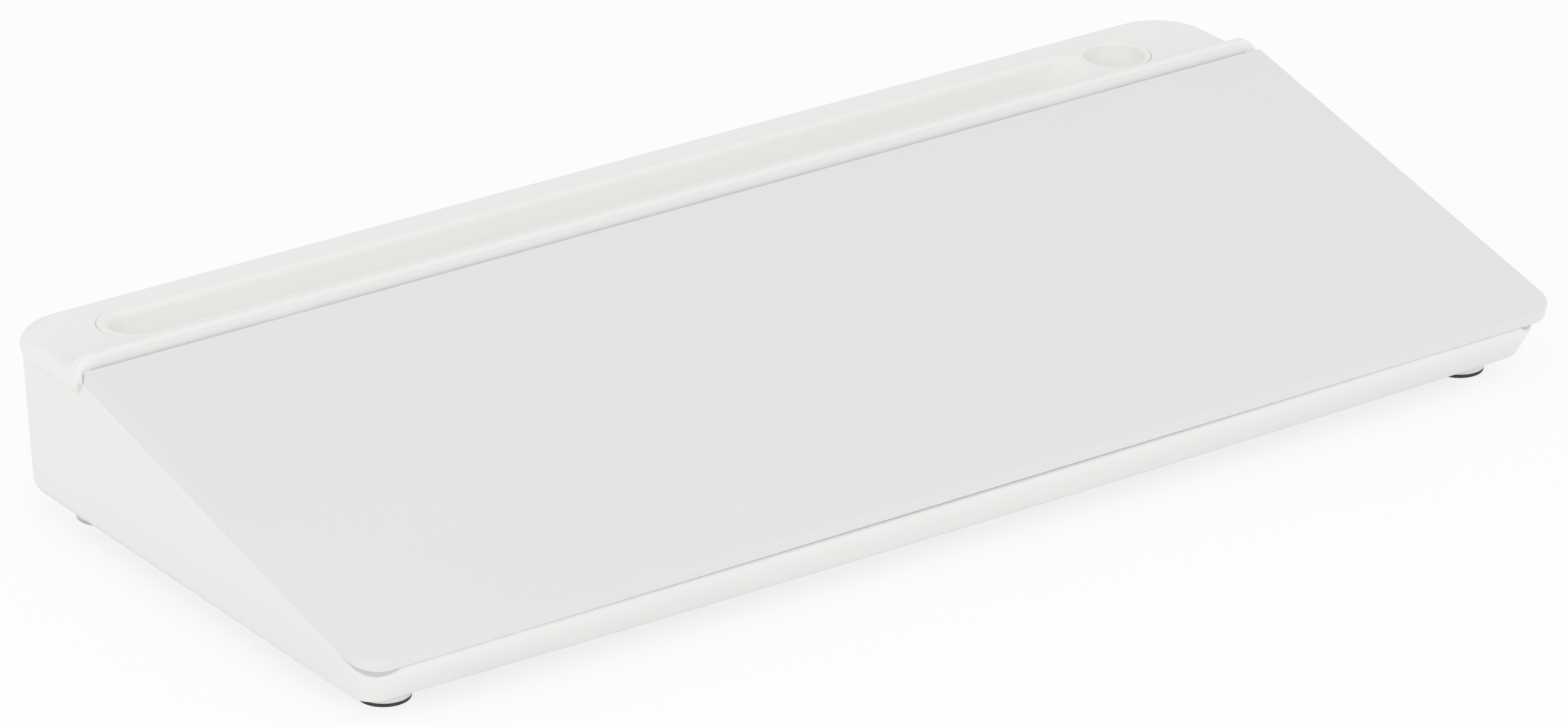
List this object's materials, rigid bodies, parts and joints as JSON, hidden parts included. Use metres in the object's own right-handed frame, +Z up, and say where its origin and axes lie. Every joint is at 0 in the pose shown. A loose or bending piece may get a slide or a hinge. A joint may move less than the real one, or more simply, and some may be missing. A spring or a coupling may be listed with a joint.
{
  "type": "desktop drawing board",
  "caption": "White wedge-shaped desktop drawing board with a sloped glass writing lid, a ridged rear cap, a lift-out pen tray and rubber-padded feet",
  "frame": {"origin": "on the table under the middle of the board: the bottom centre of its box, with the lid closed and the tray in place", "axes": "+X along the board to the right as a person sits at it, +Y towards the rear cap, +Z up"},
  "size_m": [0.452, 0.2052, 0.0642],
  "materials": {
    "white_abs": "satin",
    "white_glass": "polished",
    "white_film": "matte",
    "foam_tape": "matte",
    "steel": "satin",
    "grey_rubber": "matte",
    "black_rubber": "matte"
  },
  "bodies": {
    "base": {"base_tub": "white_abs", "rear_cap": "white_abs", "hinge_pin_left": "steel", "hinge_pin_right": "steel", "corner_bumper_left": "grey_rubber", "corner_bumper_right": "grey_rubber", "foot_front_left": "white_abs", "foot_front_right": "white_abs", "foot_rear_left": "white_abs", "foot_rear_right": "white_abs", "foot_pad_front_left": "black_rubber", "foot_pad_front_right": "black_rubber", "foot_pad_rear_left": "grey_rubber", "foot_pad_rear_right": "grey_rubber", "foot_screws": "steel", "cap_screws": "steel"},
    "lid": {"glass_panel": "white_glass", "glass_backing": "white_film", "bond_tape": "foam_tape", "lid_plate": "white_abs"},
    "tray": {"pen_tray": "white_abs"}
  },
  "joints": [
    {"name": "lid_hinge", "type": "hinge", "parent": "base", "child": "lid", "pos_m": [0, 0.05574, 0.05778], "axis": [-1, 0, 0], "range_deg": [0, 25]},
    {"name": "tray_lift", "type": "slide", "parent": "base", "child": "tray", "axis": [0, 0, 1], "range_m": [0, 0.03]}
  ]
}
